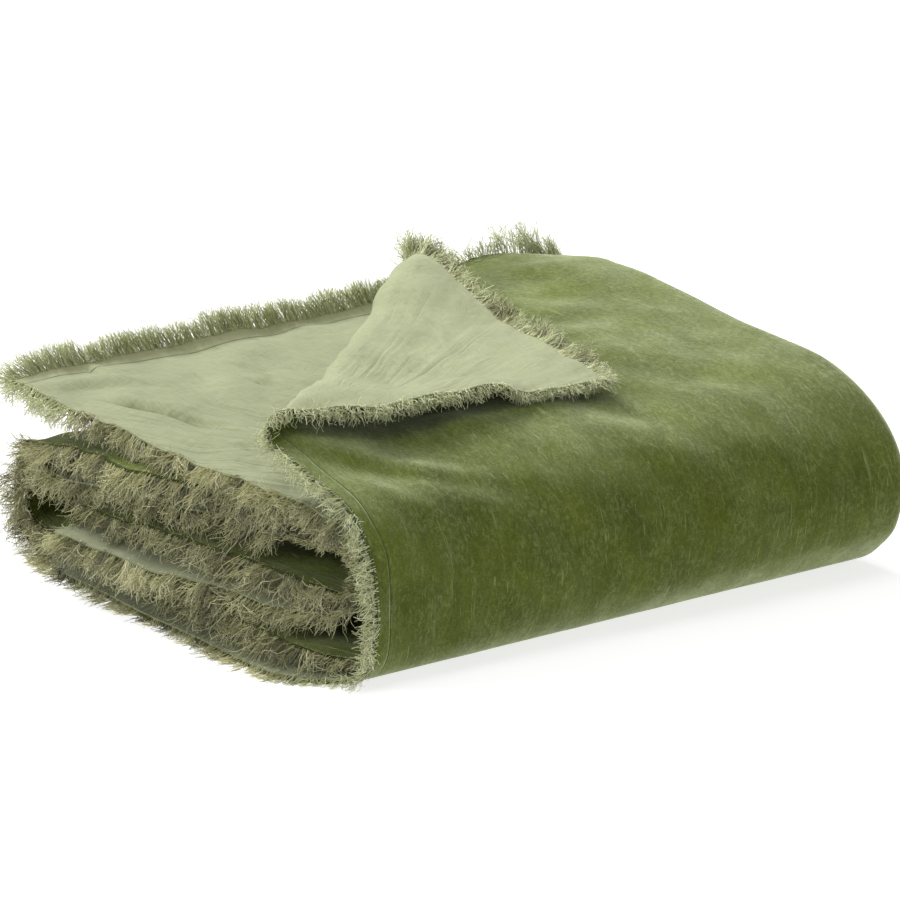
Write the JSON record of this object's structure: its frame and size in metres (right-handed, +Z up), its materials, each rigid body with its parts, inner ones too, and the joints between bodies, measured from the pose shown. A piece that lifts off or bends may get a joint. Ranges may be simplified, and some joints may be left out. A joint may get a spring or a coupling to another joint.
{
  "type": "folded velvet eiderdown with thread fringe",
  "caption": "Folded eiderdown with a velvet face, a cotton back and a thread fringe on every edge, doubled and folded over in passes, its near top corner turned back.",
  "frame": {"origin": "middle of the flat underside that the folded stack rests on", "axes": "+X runs along the big front fold from the fringed ends to the smooth fold, +Y from the big front fold to the free top end, +Z up"},
  "size_m": [0.5912, 0.532, 0.1971],
  "materials": {
    "velvet": "short-pile cotton velvet, moss green, softly crushed, with a pale sheen on the pile",
    "cotton": "plain-weave washed cotton, pale sage, matte, lightly creased",
    "thread": "frayed cotton thread, khaki sage, matte"
  },
  "bodies": {
    "root": {"velvet_face": "velvet", "cotton_back": "cotton", "fringe_flap_side": "thread", "fringe_outer_side": "thread", "fringe_light_side": "thread", "fringe_inner_side": "thread", "fringe_flap_end": "thread", "fringe_back_end": "thread", "fringe_light_end": "thread", "fringe_hidden_end": "thread"}
  },
  "joints": []
}
